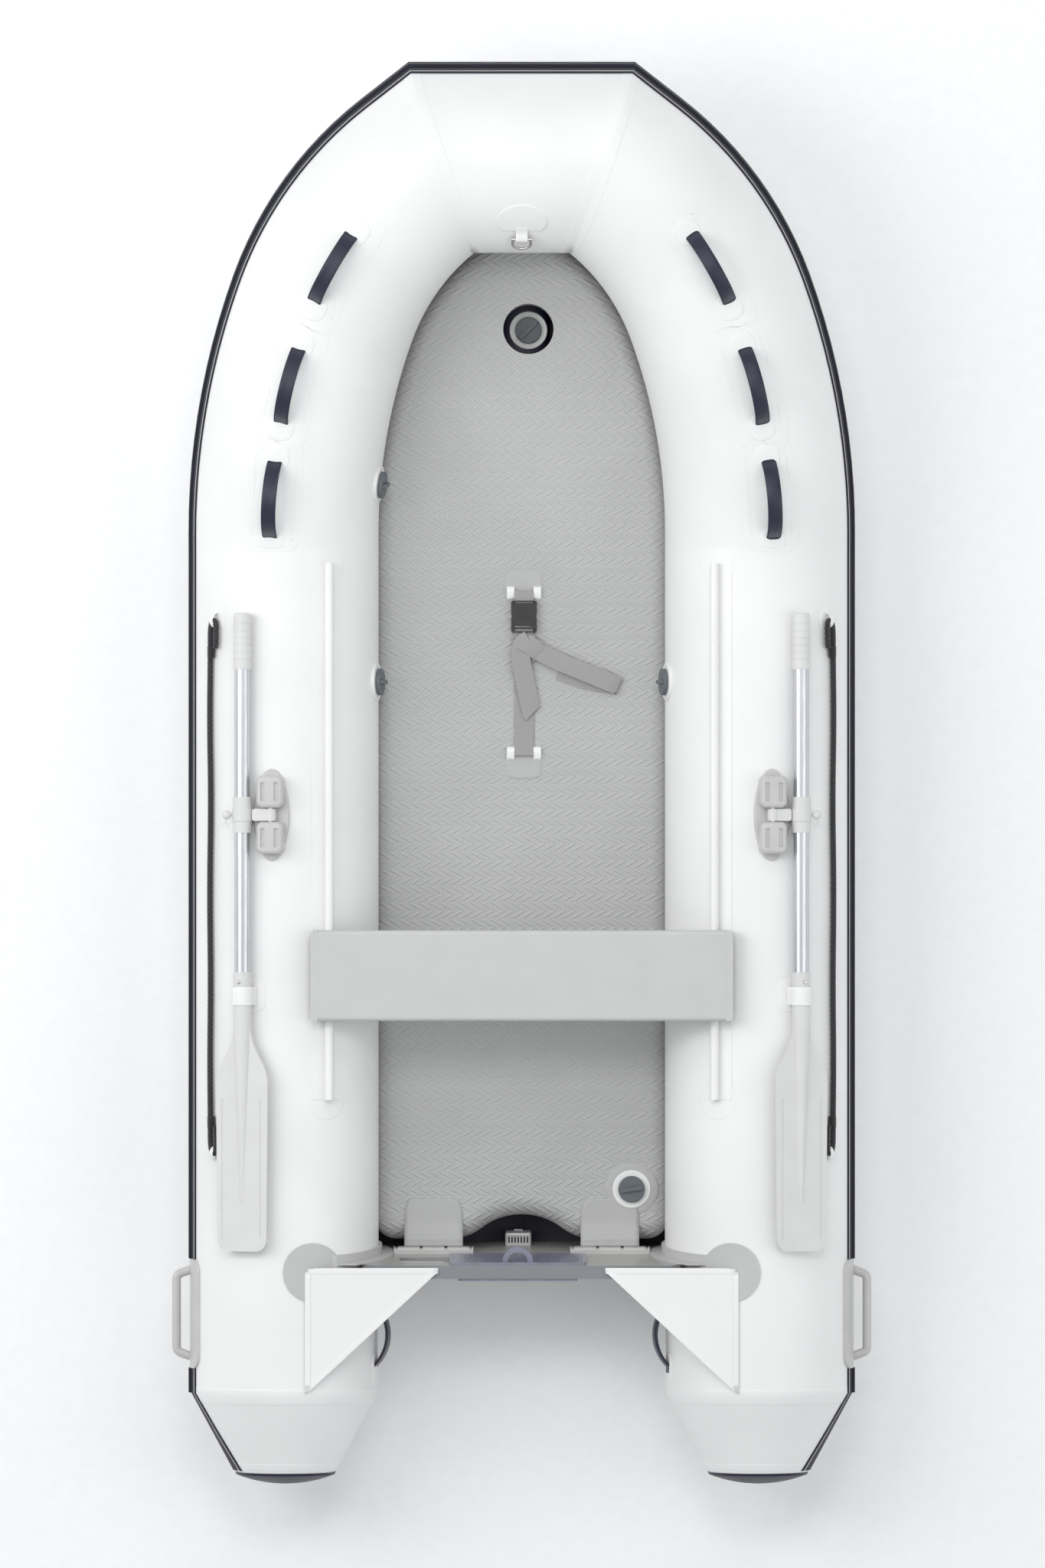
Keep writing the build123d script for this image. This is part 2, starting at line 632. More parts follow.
def transom_profile():
    """Rubber profile between the board and the starboard tube, with a lip on both faces and a round pad."""
    zone = Pos(TUBE_HALF_SPACING - TUBE_RADIUS, 0, 58) * Box(320, 4000, 335,
                                                             align=(Align.CENTER, Align.CENTER, Align.MIN))
    ring = side_cylinder(TUBE_RADIUS + PROFILE_THICKNESS - SKIN_GAP) - side_cylinder(TUBE_RADIUS + SKIN_GAP)
    margin = 22.0
    web = board_blank(-TRANSOM_THICKNESS - margin, margin, TRANSOM_DEPTH, 520) & ring & zone
    lip_ring = side_cylinder(TUBE_RADIUS + PROFILE_LIP) - side_cylinder(TUBE_RADIUS + SKIN_GAP)
    inner = board_blank(SKIN_GAP, PROFILE_LIP_THICKNESS, TRANSOM_DEPTH, 520) & lip_ring & zone
    outer = board_blank(-TRANSOM_THICKNESS - PROFILE_LIP_THICKNESS, -TRANSOM_THICKNESS - SKIN_GAP,
                        TRANSOM_DEPTH, 520) & lip_ring & zone
    pad_x = 469.0
    pad_y = TRANSOM_TOP_INNER_Y - TRANSOM_THICKNESS / 2
    pad_ring = side_cylinder(TUBE_RADIUS + 3) - side_cylinder(TUBE_RADIUS + SKIN_GAP)
    pad = pad_ring & (Pos(pad_x, pad_y, TUBE_Z + TUBE_RADIUS) * Cylinder(PROFILE_PAD_RADIUS, 200))
    return web + inner + outer + pad


def motor_pad(inner):
    width = INNER_PAD_WIDTH if inner else OUTER_PAD_WIDTH
    y = 0.02 if inner else -TRANSOM_THICKNESS - PAD_THICKNESS - 0.02
    plate = Box(width, PAD_THICKNESS, PAD_HEIGHT, align=(Align.CENTER, Align.MIN, Align.MAX))
    plate = fillet(plate.edges().filter_by(Axis.Y), PAD_CORNER)
    plate = Pos(INNER_PAD_X, y, -4) * plate
    if inner:
        half_round = (Align.CENTER, Align.MIN, Align.CENTER)
        stop = Cylinder(PAD_STOP_OUTER, 8, arc_size=180, align=half_round)
        stop = stop - Cylinder(PAD_STOP_INNER, 20, arc_size=180, align=half_round)
        plate = plate + Pos(INNER_PAD_X, PAD_THICKNESS - 0.01, -26) * stop
    return TRANSOM_FRAME * plate


def transom_local_depth(z):
    return -(TRANSOM_TOP - z) / cos(radians(TRANSOM_RAKE))


def floor_clamp(x):
    bar = Box(CLAMP_LENGTH, CLAMP_THICKNESS, CLAMP_HEIGHT)
    bar = fillet(bar.edges().filter_by(Axis.X).group_by(Axis.Y)[-1], 5)
    for i in (-1, 0, 1):
        bar = bar - Pos(i * SCREW_PITCH, 0, 0) * Rot(90, 0, 0) * Cylinder(2.6, 60)
        bar = bar - Pos(i * SCREW_PITCH, CLAMP_THICKNESS / 2, 0) * Rot(90, 0, 0) * Cylinder(6.5, 8)
    for i in (-1.5, -0.5, 0.5, 1.5):
        bar = bar - Pos(i * SCREW_PITCH * 0.9, CLAMP_THICKNESS / 2, 0) * Box(7, 6, CLAMP_HEIGHT)
    y = CLAMP_THICKNESS / 2 + 0.02
    return TRANSOM_FRAME * Pos(x, y, transom_local_depth(CLAMP_Z)) * bar


def clamp_screws(x):
    screws = []
    for i in (-1, 0, 1):
        head = Cylinder(SCREW_HEAD_RADIUS, 3, align=(Align.CENTER, Align.CENTER, Align.MIN))
        shank = Cylinder(2.2, 9.8, align=(Align.CENTER, Align.CENTER, Align.MAX))
        slot = Pos(0, 0, 3) * Box(7, 1.2, 1.6)
        screw = Rot(-90, 0, 0) * (head + shank - slot)
        y = CLAMP_THICKNESS - 4 + 0.05
        screws.append(TRANSOM_FRAME * Pos(x + i * SCREW_PITCH, y, transom_local_depth(CLAMP_Z)) * screw)
    return screws


def floor_flap(x):
    """A fabric strip from the floor's top up to the clamp."""
    face_y = TRANSOM_TOP_INNER_Y + (TRANSOM_TOP - CLAMP_Z) * tan(radians(TRANSOM_RAKE))
    end_y = face_y + CLAMP_THICKNESS / cos(radians(TRANSOM_RAKE)) + 1.6
    end_z = CLAMP_Z - 10
    t = FLAP_THICKNESS
    bottom = FLOOR_TOP + 0.1
    bend_y = FLAP_FRONT_Y - FLAP_BONDED
    points = [(FLAP_FRONT_Y, bottom), (bend_y, bottom), (end_y, end_z),
              (end_y, end_z + t), (bend_y, bottom + t), (FLAP_FRONT_Y, bottom + t)]
    plane = Plane(origin=(x - FLAP_WIDTH / 2, 0, 0), x_dir=(0, 1, 0), z_dir=(1, 0, 0))
    return extrude(plane * make_face(Polyline(*points, close=True)), amount=FLAP_WIDTH)


def drain_frame():
    z = DRAIN_Z + DRAIN_HEIGHT / 2
    return TRANSOM_FRAME * Pos(DRAIN_X, 0, transom_local_depth(z))


def drain_valve_body():
    shell = Box(DRAIN_WIDTH, DRAIN_DEPTH, DRAIN_HEIGHT, align=(Align.CENTER, Align.MIN, Align.CENTER))
    shell = fillet(shell.edges().filter_by(Axis.Y), 6)
    inside = Pos(0, 3, 0) * Box(DRAIN_WIDTH - 6, DRAIN_DEPTH, DRAIN_HEIGHT - 6,
                                align=(Align.CENTER, Align.MIN, Align.CENTER))
    shell = shell - inside
    for i in range(-3, 4):
        shell = shell - Pos(i * 7, DRAIN_DEPTH / 2 + 2, DRAIN_HEIGHT / 2) * Box(3.4, 14, 12)
    from_wall = (Align.CENTER, Align.CENTER, Align.MIN)
    pipe = Rot(90, 0, 0) * Cylinder(DRAIN_PIPE_RADIUS, TRANSOM_THICKNESS + 14, align=from_wall)
    bore = Rot(90, 0, 0) * Cylinder(DRAIN_BORE, 200)
    return drain_frame() * Pos(0, 0.1, 0) * (shell + pipe - bore)


def drain_valve_cover():
    """White cover that hinges down from the top of the drain body's front."""
    plate = Box(DRAIN_WIDTH - 2, 4, DRAIN_HEIGHT - 2)
    plate = fillet(plate.edges().filter_by(Axis.Y), 6)
    lift = Pos(0, 3, -DRAIN_HEIGHT / 2 + 8) * Box(20, 4, 6)
    return drain_frame() * Pos(0, DRAIN_DEPTH + 2.6, 0) * (plate + lift)


def splash_guard():
    """Triangular sheet between the transom's top and the starboard tube."""
    low = TRANSOM_TOP + 0.8
    lean = asin((TUBE_HALF_SPACING - GUARD_OUTER_X) / TUBE_RADIUS)
    high = TUBE_Z + TUBE_RADIUS * cos(lean) + 3.9
    corners = [(GUARD_OUTER_X, GUARD_FRONT_Y), (GUARD_INNER_X, GUARD_FRONT_Y - 2),
               (GUARD_OUTER_X, GUARD_AFT_Y)]
    slope = (high - low) / (GUARD_OUTER_X - GUARD_INNER_X)
    prism = extrude(make_face(Polyline(*corners, close=True)), amount=GUARD_THICKNESS)
    prism = fillet(prism.edges().filter_by(Axis.Z), 16)
    tip = Pos(GUARD_INNER_X, 0, low) * Rot(0, -degrees(slope), 0) * Pos(-GUARD_INNER_X, 0, 0)
    sheet = tip * prism
    return sheet


# ---------------------------------------------------------------- seat
RAIL_AXIS = (TUBE_HALF_SPACING - (TUBE_RADIUS + RAIL_STANDOFF) * sin(radians(RAIL_ANGLE)),
             TUBE_Z + (TUBE_RADIUS + RAIL_STANDOFF) * cos(radians(RAIL_ANGLE)))
BENCH_Z = RAIL_AXIS[1] + RAIL_HEAD_RADIUS + 6.0


def rail_local(shape):
    return Pos(*RAIL_AXIS) * Rot(0, 0, RAIL_ANGLE) * shape


def seat_rail():
    tube = Pos(TUBE_HALF_SPACING, TUBE_Z)
    base = tube * ring_profile(TUBE_RADIUS + SKIN_GAP, TUBE_RADIUS + 1.6)
    base = base & rail_local(Rectangle(2 * RAIL_BASE_HALF, 60))
    neck = rail_local(Pos(0, -RAIL_STANDOFF / 2) * Rectangle(RAIL_NECK, RAIL_STANDOFF))
    neck = neck - tube * Circle(TUBE_RADIUS + SKIN_GAP)
    head = rail_local(Circle(RAIL_HEAD_RADIUS))
    section = base + neck + head - rail_local(Circle(RAIL_BORE))
    return along_y(section, RAIL_AFT_Y, RAIL_FRONT_Y)


def bench_bracket():
    """End cap of the plank with the grooved shoe that slides on the rail."""
    tube = Pos(TUBE_HALF_SPACING, TUBE_Z)
    shoe_bottom = BENCH_Z - 30
    shoe = Pos(RAIL_AXIS[0] + 1, (BENCH_Z + shoe_bottom) / 2) * Rectangle(46, BENCH_Z - shoe_bottom)
    shoe = shoe - tube * Circle(TUBE_RADIUS + 1.6 + RAIL_CLEARANCE)
    shoe = shoe - rail_local(Circle(RAIL_HEAD_RADIUS + RAIL_CLEARANCE))
    neck = Pos(0, -RAIL_STANDOFF) * Rectangle(RAIL_NECK + 2 * RAIL_CLEARANCE, 2 * RAIL_STANDOFF)
    shoe = shoe - rail_local(neck)
    half = BENCH_DEPTH / 2
    shoe = along_y(shoe, BENCH_Y - half, BENCH_Y + half)
    pieces = sorted(shoe.solids(), key=lambda s: s.volume)
    shoe = pieces[-1]
    lip = 4.0
    cap = Pos(BENCH_HALF_LENGTH + BENCH_CAP / 2, BENCH_Y, BENCH_Z + (BENCH_THICKNESS - lip) / 2)
    cap = cap * Box(BENCH_CAP, BENCH_DEPTH, BENCH_THICKNESS + lip)
    cap = fillet(cap.edges().filter_by(Axis.Z).group_by(Axis.X)[-1], 8)
    foot_from = RAIL_AXIS[0] + 20
    inboard_top = (Align.MIN, Align.CENTER, Align.MAX)
    foot = Box(BENCH_HALF_LENGTH + 1 - foot_from, BENCH_DEPTH, lip, align=inboard_top)
    return cap + Pos(foot_from, BENCH_Y, BENCH_Z) * foot + shoe


def bench_seat():
    outer = Pos(0, BENCH_Y, BENCH_Z + BENCH_THICKNESS / 2 + 0.1)
    plank = Box(2 * BENCH_HALF_LENGTH - 0.2, BENCH_DEPTH, BENCH_THICKNESS - 0.1)
    plank = fillet(plank.edges().filter_by(Axis.X), 9)
    bays = 3
    bay = (BENCH_DEPTH - (bays + 1) * BENCH_WALL) / bays
    for i in range(bays):
        y = (i - (bays - 1) / 2) * (bay + BENCH_WALL)
        hollow = Box(3 * BENCH_HALF_LENGTH, bay, BENCH_THICKNESS - 2 * BENCH_WALL)
        plank = plank - Pos(0, y, 0) * fillet(hollow.edges().filter_by(Axis.X), 6.5)
    return outer * plank


# ---------------------------------------------------------------- straps and handles
def arched_strap(length, arch, lift):
    """A flat strap that bows up between two feet, along y with its back to +z."""
    half = length / 2
    radius = (half ** 2 + arch ** 2) / (2 * arch)
    outer = Pos(0, arch - radius) * Circle(radius + STRAP_THICKNESS / 2)
    inner = Pos(0, arch - radius) * Circle(radius - STRAP_THICKNESS / 2)
    arch_face = (outer - inner) & (Pos(0, 200) * Rectangle(2 * length, 400))
    feet = Pos(-half - STRAP_FOOT / 2 + 4, STRAP_THICKNESS / 2) * Rectangle(STRAP_FOOT, STRAP_THICKNESS)
    face = arch_face + feet + mirror(feet, about=Plane.YZ)
    plane = Plane(origin=(-STRAP_WIDTH / 2, 0, lift), x_dir=(0, 1, 0), z_dir=(1, 0, 0))
    return extrude(plane * face, amount=STRAP_WIDTH)


# Station along the boat, then the lift and the pitch that seat the strap on the curved tube.
GRAB_STATIONS = {1130.0: (0.1, 0.0), 868.0: (0.4, 0.0), 615.0: (1.1, -0.6)}


def grab_strap(y):
    lift, pitch = GRAB_STATIONS[y]
    seat = surface_frame(y, STRAP_LEAN, TUBE_RADIUS) * Rot(pitch, 0, 0)
    return seat * arched_strap(STRAP_LENGTH, STRAP_ARCH, STRAP_PAD + lift)


def stern_loop():
    frame = surface_frame(STERN_LOOP_Y, -STERN_LOOP_ANGLE, TUBE_RADIUS)
    return frame * arched_strap(STERN_LOOP_LENGTH, STERN_LOOP_ARCH, STRAP_PAD + 0.9)


def pads_for(y, lean, half):
    """Two round patches moulded to the tube, under the feet of a strap."""
    made = []
    for end in (-1, 1):
        if y <= ELBOW_Y:
            shell = side_cylinder(TUBE_RADIUS + STRAP_PAD) - side_cylinder(TUBE_RADIUS + SKIN_GAP)
            frame = surface_frame(y + end * half, lean, TUBE_RADIUS)
            made.append(shell & (frame * Cylinder(STRAP_PAD_RADIUS, 60)))
            continue
        flat_y = (y - QUARTER_Y) / cos(radians(BOW_TILT))
        x, turned = bow_point(flat_y)
        foot_y = y + end * half * cos(turned) * cos(radians(BOW_TILT))
        frame = surface_frame(foot_y, lean, TUBE_RADIUS)
        made.append(QUARTER_SKIN & (frame * Cylinder(STRAP_PAD_RADIUS, 60)))
    return made


def carry_handle():
    outer = TUBE_RADIUS + HANDLE_PLATE
    plate = straight_section(ring_profile(TUBE_RADIUS + SKIN_GAP, outer), HANDLE_Y - HANDLE_PLATE_LENGTH / 2,
                             HANDLE_Y + HANDLE_PLATE_LENGTH / 2)
    keep = Pos(TUBE_HALF_SPACING + TUBE_RADIUS, HANDLE_Y, TUBE_Z)
    block = Box(200, HANDLE_PLATE_LENGTH, 2 * HANDLE_PLATE_HALF)
    plate = plate & (keep * fillet(block.edges().filter_by(Axis.X), 30))
    reach = TUBE_HALF_SPACING + HANDLE_BAR_REACH
    foot = TUBE_HALF_SPACING + outer - 2
    half = HANDLE_BAR_LENGTH / 2
    route = FilletPolyline((foot, HANDLE_Y - half, TUBE_Z), (reach, HANDLE_Y - half + 12, TUBE_Z),
                           (reach, HANDLE_Y + half - 12, TUBE_Z), (foot, HANDLE_Y + half, TUBE_Z), radius=14)
    section = Plane(origin=route @ 0, z_dir=route % 0) * Circle(HANDLE_BAR_RADIUS)
    return plate + sweep(section, path=route)


# ---------------------------------------------------------------- oars, drawn on the starboard side
LOCK_LEAN = degrees(asin((LOCK_X - TUBE_HALF_SPACING) / TUBE_RADIUS))
LOCK_FRAME = Pos(TUBE_HALF_SPACING, OAR_Y, TUBE_Z) * Rot(0, LOCK_LEAN, 0) * Pos(0, 0, TUBE_RADIUS)
OAR_LEAN = degrees(asin((OAR_X - TUBE_HALF_SPACING) / OAR_REACH))
OAR_Z = TUBE_Z + OAR_REACH * cos(radians(OAR_LEAN))
OAR_FRAME = Pos(OAR_X, 0, OAR_Z) * Rot(0, OAR_LEAN, 0)
AXLE_POINT = LOCK_FRAME * Pos(0, 0, AXLE_HEIGHT)


def rod(radius, y_from, y_to):
    return Pos(0, (y_from + y_to) / 2, 0) * Rot(90, 0, 0) * Cylinder(radius, y_to - y_from)


def on_oar(shape):
    return OAR_FRAME * shape


def oarlock_base():
    outline = Ellipse(LOCK_WIDTH / 2, LOCK_LENGTH / 2)
    plate = Pos(0, 0, -14) * extrude(outline, amount=14 + LOCK_PLATE)
    plate = fillet(plate.edges().group_by(Axis.Z)[-1], 4)
    for end in (-1, 1):
        hump = Box(HUMP_WIDTH, HUMP_LENGTH, HUMP_HEIGHT + 8, align=(Align.CENTER, Align.CENTER, Align.MIN))
        hump = fillet(hump.edges().filter_by(Axis.Z), 14)
        hump = fillet(hump.edges().group_by(Axis.Z)[-1], 9)
        hump = Pos(0, end * (HUMP_GAP + HUMP_LENGTH) / 2, 0) * hump
        for side in (-1, 1):
            groove = Pos(side * 15, end * (HUMP_GAP + HUMP_LENGTH) / 2, HUMP_HEIGHT + 8)
            hump = hump - groove * Box(9, HUMP_LENGTH - 30, 7)
        plate = plate + hump
    axle_end = LOCK_LENGTH / 2 - 22
    plate = plate - Pos(0, 0, AXLE_HEIGHT) * rod(AXLE_RADIUS + FIT, -axle_end, axle_end)
    well = Pos(0, 0, LOCK_PLATE + 6) * Box(LOCK_WIDTH + 4, HUMP_GAP, 12)
    return (LOCK_FRAME * (plate - well)) - side_cylinder(TUBE_RADIUS + SKIN_GAP).moved(Pos(0, 1000, 0))


def oarlock_axle():
    axle = rod(AXLE_RADIUS, -LOCK_LENGTH / 2 + 24, LOCK_LENGTH / 2 - 24)
    return LOCK_FRAME * Pos(0, 0, AXLE_HEIGHT) * axle


def oarlock_swivel():
    """Block on the axle with a stem out to the collar."""
    axle_x = AXLE_POINT.position.X
    axle_z = AXLE_POINT.position.Z
    width = SWIVEL_WIDTH
    block = Cylinder(12.5, width, rotation=(90, 0, 0))
    reach = OAR_X - COLLAR_RADIUS - 2 - axle_x
    arm = Box(reach, width, 20, align=(Align.MIN, Align.CENTER, Align.CENTER))
    arm = fillet(arm.edges().filter_by(Axis.Z).group_by(Axis.X)[-1], 6)
    block = block + arm - Cylinder(AXLE_RADIUS + FIT, 2 * width, rotation=(90, 0, 0))
    drop = degrees(asin((axle_z - OAR_Z) / hypot(OAR_X - axle_x, axle_z - OAR_Z)))
    return Pos(axle_x, OAR_Y, axle_z) * Rot(0, drop, 0) * block


def oar_collar():
    sleeve = rod(COLLAR_RADIUS, -COLLAR_LENGTH / 2, COLLAR_LENGTH / 2) + rod(COLLAR_RADIUS + 2, -14, 14)
    sleeve = sleeve - rod(SHAFT_RADIUS + FIT, -COLLAR_LENGTH, COLLAR_LENGTH)
    hole = Pos(COLLAR_RADIUS, 0, 0) * Rot(0, 90, 0) * Cylinder(3.2, 20)
    return Pos(OAR_X, OAR_Y, OAR_Z) * (sleeve - hole)


def pin_knob():
    ball = Pos(COLLAR_RADIUS + 3.5 + KNOB_RADIUS, 0, 0) * Sphere(KNOB_RADIUS)
    stem = Pos(COLLAR_RADIUS + 4, 0, 0) * Rot(0, 90, 0) * Cylinder(3, 11)
    return Pos(OAR_X, OAR_Y, OAR_Z) * (ball + stem)


def oar_shaft():
    front = GRIP_FRONT_Y - 8
    shaft = rod(SHAFT_RADIUS, SHAFT_AFT_Y, front) - rod(SHAFT_RADIUS - SHAFT_WALL, SHAFT_AFT_Y - 1, front + 1)
    hole = Pos(0, BUTTON_Y, 18) * Cylinder(BUTTON_RADIUS + FIT, 16)
    return on_oar(shaft - hole)


def oar_grip():
    grip = rod(GRIP_RADIUS, GRIP_FRONT_Y - GRIP_LENGTH, GRIP_FRONT_Y)
    grip = fillet(grip.edges().group_by(Axis.Y)[-1], 6)
    grip = grip - rod(SHAFT_RADIUS + FIT, GRIP_FRONT_Y - GRIP_LENGTH - 1, GRIP_FRONT_Y - 8 + FIT)
    for i in range(6):
        y = GRIP_FRONT_Y - 24 - i * 16
        ring = rod(GRIP_RADIUS + 1, y - 1.5, y + 1.5) - rod(GRIP_RADIUS - 0.8, y - 3, y + 3)
        grip = grip - ring
    return on_oar(grip)


def oar_blade():
    half = BLADE_WIDTH / 2
    neck = SOCKET_RADIUS
    soft = 26.0
    edge = [Line((neck, BLADE_NECK_Y), (neck, BLADE_NECK_Y - 20)),
            Spline((neck, BLADE_NECK_Y - 20), (half, BLADE_FULL_Y), tangents=((0, -1), (0, -1))),
            Line((half, BLADE_FULL_Y), (half - 3, BLADE_END_Y + soft)),
            ThreePointArc((half - 3, BLADE_END_Y + soft), (half - 3 - soft * 0.3, BLADE_END_Y + soft * 0.3),
                          (half - 3 - soft, BLADE_END_Y))]
    outline = edge[0] + edge[1] + edge[2] + edge[3]
    full = outline + mirror(outline, about=Plane.YZ)
    full = full + Line((half - 3 - soft, BLADE_END_Y), (-(half - 3 - soft), BLADE_END_Y))
    full = full + Line((neck, BLADE_NECK_Y), (-neck, BLADE_NECK_Y))
    plate = Pos(0, 0, -BLADE_THICKNESS / 2) * extrude(make_face(full), amount=BLADE_THICKNESS)
    spine_end = BLADE_END_Y + 110
    spine = Cone(5, SOCKET_RADIUS, BLADE_NECK_Y - spine_end, rotation=(-90, 0, 0))
    spine = Pos(0, (spine_end + BLADE_NECK_Y) / 2, 0) * spine
    socket = rod(SOCKET_RADIUS, BLADE_NECK_Y, SOCKET_FRONT_Y)
    blade = plate + spine + socket - rod(SHAFT_RADIUS + FIT, SHAFT_AFT_Y - FIT, SOCKET_FRONT_Y + 10)
    for side in (-1, 1):
        for face in (-1, 1):
            groove = Pos(side * (half - 16), (BLADE_FULL_Y + BLADE_END_Y) / 2, face * BLADE_THICKNESS / 2)
            blade = blade - groove * Box(5, BLADE_FULL_Y - BLADE_END_Y - 60, 2.4)
    hole = Pos(0, BUTTON_Y, 20) * Cylinder(BUTTON_RADIUS + FIT, 16)
    return on_oar(blade - hole)


def blade_button():
    pin = Pos(0, BUTTON_Y, 0) * Cylinder(BUTTON_RADIUS, 14, align=(Align.CENTER, Align.CENTER, Align.MIN))
    pin = Pos(0, 0, SOCKET_RADIUS - 11) * pin
    return on_oar(fillet(pin.edges().group_by(Axis.Z)[-1], 1.5))


def oar_keeper():
    """Strap round the blade's socket, bonded to the tube."""
    outer = SOCKET_RADIUS + 0.4 + KEEPER_THICKNESS
    y0 = KEEPER_Y - KEEPER_WIDTH / 2
    y1 = KEEPER_Y + KEEPER_WIDTH / 2
    loop = rod(outer, y0, y1)
    foot = Pos(0, KEEPER_Y, -SOCKET_RADIUS - 2) * Box(34, KEEPER_WIDTH, 12)
    hollow = rod(SOCKET_RADIUS + 0.4, y0 - 1, y1 + 1)
    strap = on_oar(loop + foot - hollow)
    shell = side_cylinder(TUBE_RADIUS + STRAP_PAD + 0.3) - side_cylinder(TUBE_RADIUS + SKIN_GAP)
    shell = shell.moved(Pos(0, 600, 0))
    base = shell & on_oar(Pos(0, KEEPER_Y, -30) * fillet(Box(90, 74, 60).edges().filter_by(Axis.Z), 18))
    cut = side_cylinder(TUBE_RADIUS + SKIN_GAP).moved(Pos(0, 600, 0))
    return (strap - cut) + base


# ---------------------------------------------------------------- safety ropes
ROPE_REACH = TUBE_RADIUS + ROPE_RADIUS + ROPE_TUBE_GAP
ROPE_LEAN = degrees(asin((ROPE_X - TUBE_HALF_SPACING) / ROPE_REACH))
ROPE_FRAME = Pos(TUBE_HALF_SPACING, 0, TUBE_Z) * Rot(0, ROPE_LEAN, 0) * Pos(0, 0, ROPE_REACH)


def rope():
    """Straight run with an eye turned back at each end, lying against the tube."""
    eye = ROPE_EYE_RADIUS
    lift = 2.2
    route = FilletPolyline((-2 * eye, ROPE_FRONT_Y - ROPE_TAIL, lift), (-2 * eye, ROPE_FRONT_Y, lift),
                           (0, ROPE_FRONT_Y, 0), (0, ROPE_AFT_Y, 0), (-2 * eye, ROPE_AFT_Y, lift),
                           (-2 * eye, ROPE_AFT_Y + ROPE_TAIL, lift), radius=eye * 0.98)
    section = Plane(origin=route @ 0, z_dir=route % 0) * Circle(ROPE_RADIUS)
    return ROPE_FRAME * sweep(section, path=route)


def rope_anchor(end_y, outward):
    """A narrow tab through the eye, with one foot inside it and one beyond it."""
    tube_shell = side_cylinder(TUBE_RADIUS + STRAP_PAD) - side_cylinder(TUBE_RADIUS + SKIN_GAP)
    tube_shell = tube_shell.moved(Pos(0, end_y + 1100, 0))
    base = ROPE_FRAME * Pos(-ROPE_EYE_RADIUS, end_y + outward * 4, -ROPE_REACH + TUBE_RADIUS)
    pad = tube_shell & (base * Cylinder(24, 60))
    height = 2 * ROPE_RADIUS + 6
    t = ANCHOR_THICKNESS
    outer = Box(ANCHOR_WIDTH, 36, height, align=(Align.CENTER, Align.CENTER, Align.MIN))
    outer = fillet(outer.edges().filter_by(Axis.X).group_by(Axis.Z)[-1], 7)
    inner = Box(ANCHOR_WIDTH + 2, 36 - 2 * t, height - t, align=(Align.CENTER, Align.CENTER, Align.MIN))
    inner = fillet(inner.edges().filter_by(Axis.X).group_by(Axis.Z)[-1], 5)
    loop = ROPE_FRAME * Pos(-ROPE_EYE_RADIUS, end_y, -ROPE_RADIUS - 2.4) * (outer - inner)
    cut = side_cylinder(TUBE_RADIUS + SKIN_GAP).moved(Pos(0, end_y + 1100, 0))
    return pad + (loop - cut)


# ---------------------------------------------------------------- valves
def valve_body(cut=None):
    """Flange and barrel, drawn with the skin at z = 0."""
    flange = Pos(0, 0, -8) * Cylinder(VALVE_FLANGE_RADIUS, VALVE_FLANGE + 8,
                                      align=(Align.CENTER, Align.CENTER, Align.MIN))
    flange = fillet(flange.edges().group_by(Axis.Z)[-1], 2.4)
    flange = flange - (cut if cut is not None else Pos(0, 0, -50 + SKIN_GAP) * Box(200, 200, 100))
    barrel = Pos(0, 0, VALVE_FLANGE - 1) * Cylinder(VALVE_BARREL_RADIUS, VALVE_DEPTH,
                                                    align=(Align.CENTER, Align.CENTER, Align.MAX))
    seat = Pos(0, 0, -VALVE_DEPTH + VALVE_FLANGE + 2) * (Cylinder(VALVE_BORE + 1, 3) - Cylinder(9, 6))
    bore = Cylinder(VALVE_BORE, 4 * VALVE_DEPTH)
    return flange + barrel - bore + seat


def valve_cap(turn):
    disc = Cylinder(CAP_RADIUS, CAP_HEIGHT, align=(Align.CENTER, Align.CENTER, Align.MIN))
    disc = fillet(disc.edges().group_by(Axis.Z)[-1], 2)
    hanging = (Align.CENTER, Align.CENTER, Align.MAX)
    plug = Pos(0, 0, 0.01) * Cylinder(VALVE_BORE - CAP_PLAY, CAP_PLUG, align=hanging)
    grip = Pos(0, 0, CAP_HEIGHT - 0.01) * Box(2 * CAP_RADIUS - 8, 9, CAP_GRIP_HEIGHT,
                                              align=(Align.CENTER, Align.CENTER, Align.MIN))
    grip = fillet(grip.edges().filter_by(Axis.Z), 3.5)
    return Pos(0, 0, VALVE_FLANGE + CAP_PLAY) * Rot(0, 0, turn) * (disc + plug + grip)


def tube_valve_body(y):
    frame = tube_valve_frame(y)
    if y < ELBOW_Y:
        skin = side_cylinder(TUBE_RADIUS + SKIN_GAP).moved(Pos(0, 1100, 0))
    else:
        skin = QUARTER_CORE
    return frame * valve_body(frame.inverse() * skin)


# ---------------------------------------------------------------- cargo strap
STRAP_Z = FLOOR_TOP + 0.1 + ANCHOR_PAD


def strap_anchor(y):
    pad = fillet(Box(82, 60, ANCHOR_PAD, align=(Align.CENTER, Align.CENTER, Align.MIN)).edges()
                 .filter_by(Axis.Z), 14)
    bar = Box(66, 30, 9, align=(Align.CENTER, Align.CENTER, Align.MIN))
    bar = fillet(bar.edges().filter_by(Axis.Z), 5)
    window = Pos(0, 0, -0.01) * Box(66 - 16, 30 - 14, 10, align=(Align.CENTER, Align.CENTER, Align.MIN))
    return Pos(STRAP_X, y, FLOOR_TOP + 0.1) * (pad + Pos(0, 0, ANCHOR_PAD) * (bar - window))


